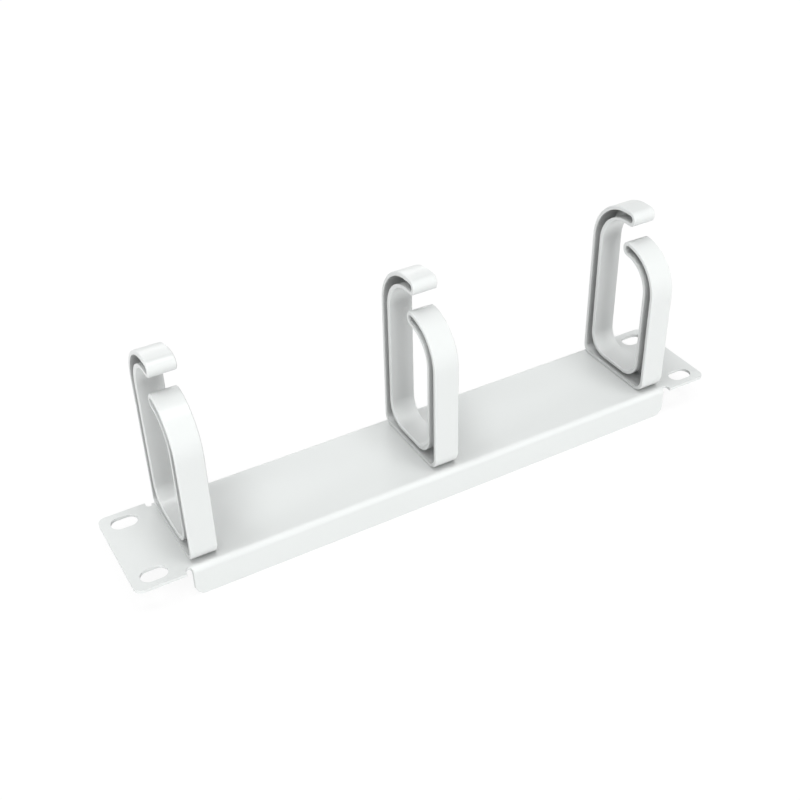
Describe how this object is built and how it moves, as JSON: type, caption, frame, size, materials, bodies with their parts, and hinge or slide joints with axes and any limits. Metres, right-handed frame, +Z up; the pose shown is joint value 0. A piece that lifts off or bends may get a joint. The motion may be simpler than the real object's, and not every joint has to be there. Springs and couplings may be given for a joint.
{
  "type": "horizontal cable manager",
  "caption": "Folded sheet panel with slotted ears and a row of open moulded cable rings, for leading patch cables along a ten-inch rack.",
  "frame": {"origin": "on the surface it stands on, under the middle of the panel, at the flanges' lower edges", "axes": "+X along the panel from the left ear to the right ear, +Y from the rings' open front arms to their closed rear arms, +Z up, the way the rings stand out of the panel"},
  "size_m": [0.254, 0.044, 0.0897],
  "materials": {
    "panel_coating": "satin light grey powder coat on sheet steel",
    "ring_plastic": "fine satin moulded plastic, light grey"
  },
  "bodies": {
    "root": {"panel": "panel_coating", "cable_ring_left": "ring_plastic", "cable_ring_middle": "ring_plastic", "cable_ring_right": "ring_plastic"}
  },
  "joints": []
}
